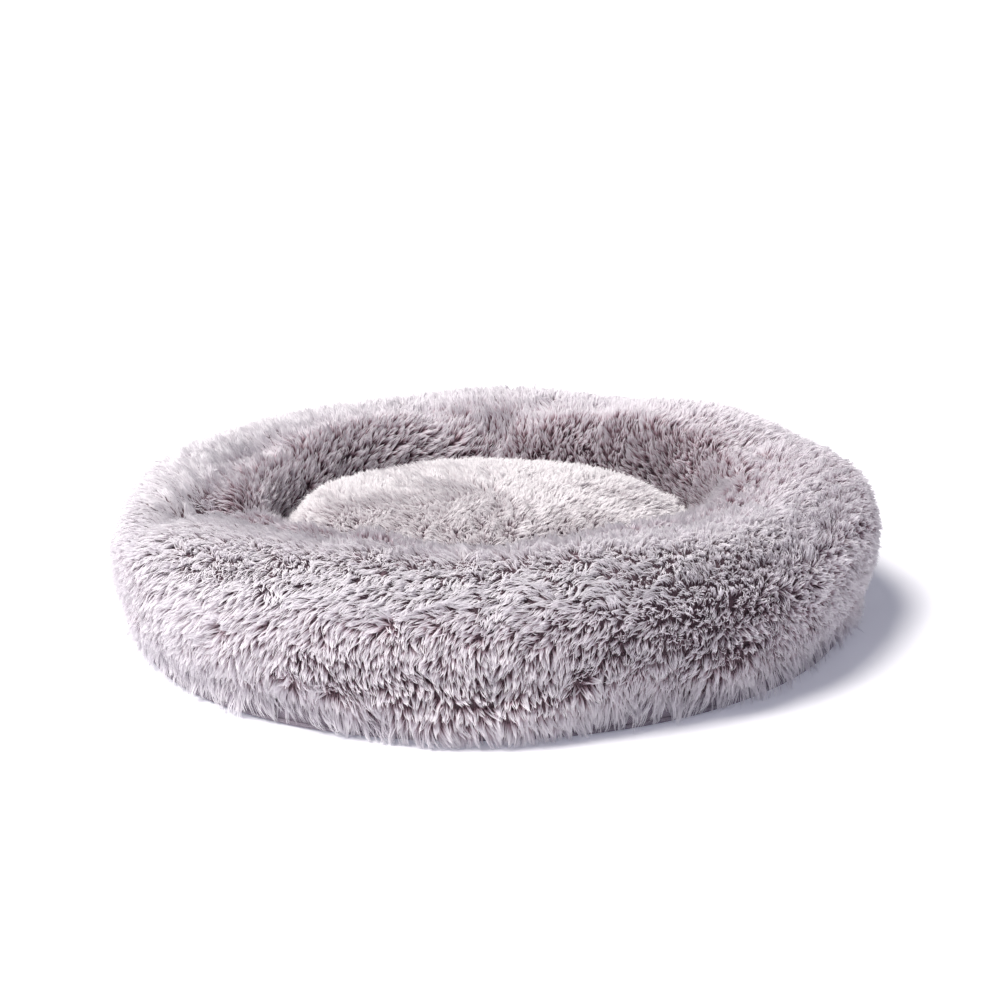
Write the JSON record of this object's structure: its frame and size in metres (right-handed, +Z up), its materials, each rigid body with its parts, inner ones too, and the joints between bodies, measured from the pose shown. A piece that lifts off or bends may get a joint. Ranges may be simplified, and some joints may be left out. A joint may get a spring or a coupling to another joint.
{
  "type": "pet cushion bed",
  "caption": "Round donut-shaped pet bed: a plump faux-fur ring bolster round a well with a loose domed fur cushion, zipped covers and a non-slip base.",
  "frame": {"origin": "on the floor under the middle of the bed", "axes": "+Z up along the ring's axis, -Y to the front of the bed, +Y to the zipped back"},
  "size_m": [0.6, 0.6, 0.128],
  "materials": {
    "ring_fur": "long-pile two-tone faux fur, dark mauve-brown roots and pale lilac tips",
    "cushion_fur": "long-pile two-tone faux fur, paler and denser",
    "short_plush": "short-pile plush",
    "base_cloth": "plain woven coated cloth",
    "binding_tape": "woven binding tape",
    "lining": "thin plain cloth",
    "filling": "siliconised polyester fibre",
    "wadding": "needled polyester wadding",
    "grip_rubber": "matt non-slip dots",
    "zip_tape": "woven zip tape",
    "zip_coil": "satin nylon coil",
    "zip_metal": "satin plated zinc",
    "label_tape": "blank white satin label"
  },
  "bodies": {
    "bed": {"ring_fill": "filling", "ring_liner": "lining", "fur_outer_left": "ring_fur", "fur_outer_right": "ring_fur", "fur_inner": "ring_fur", "well_floor": "short_plush", "base_pad": "wadding", "base_panel": "base_cloth", "grip_dots": "grip_rubber", "base_band": "base_cloth", "base_binding": "binding_tape", "care_label": "label_tape", "ring_zip_tape_lower": "zip_tape", "ring_zip_tape_upper": "zip_tape", "ring_zip_coil_lower": "zip_coil", "ring_zip_coil_upper": "zip_coil", "ring_zip_stops": "zip_metal"},
    "cushion": {"cushion_fill": "filling", "cushion_liner": "lining", "cushion_fur_top": "cushion_fur", "cushion_base_panel": "base_cloth", "cushion_band": "base_cloth", "cushion_zip_tape_lower": "zip_tape", "cushion_zip_tape_upper": "zip_tape", "cushion_zip_coil_lower": "zip_coil", "cushion_zip_coil_upper": "zip_coil", "cushion_zip_stops": "zip_metal"},
    "ring_slider": {"ring_zip_slider": "zip_metal"},
    "ring_pull": {"ring_zip_pull": "zip_metal"},
    "cushion_slider": {"cushion_zip_slider": "zip_metal"},
    "cushion_pull": {"cushion_zip_pull": "zip_metal"}
  },
  "joints": [
    {"name": "cushion_lift_out", "type": "slide", "parent": "bed", "child": "cushion", "axis": [0, 0, 1], "range_m": [0, 0.22]},
    {"name": "ring_zip_travel", "type": "hinge", "parent": "bed", "child": "ring_slider", "pos_m": [0, 0, 0.009], "axis": [0, 0, 1], "range_deg": [0, 147.3]},
    {"name": "ring_zip_pull_swing", "type": "hinge", "parent": "ring_slider", "child": "ring_pull", "pos_m": [0.26577, 0.07805, 0.009], "axis": [0, 0, -1], "range_deg": [0, 175]},
    {"name": "cushion_zip_travel", "type": "hinge", "parent": "cushion", "child": "cushion_slider", "pos_m": [0, 0, 0.0224], "axis": [0, 0, 1], "range_deg": [0, 124.8]},
    {"name": "cushion_zip_pull_swing", "type": "hinge", "parent": "cushion_slider", "child": "cushion_pull", "pos_m": [0.12433, 0.07952, 0.0224], "axis": [0, 0, -1], "range_deg": [0, 175]}
  ]
}
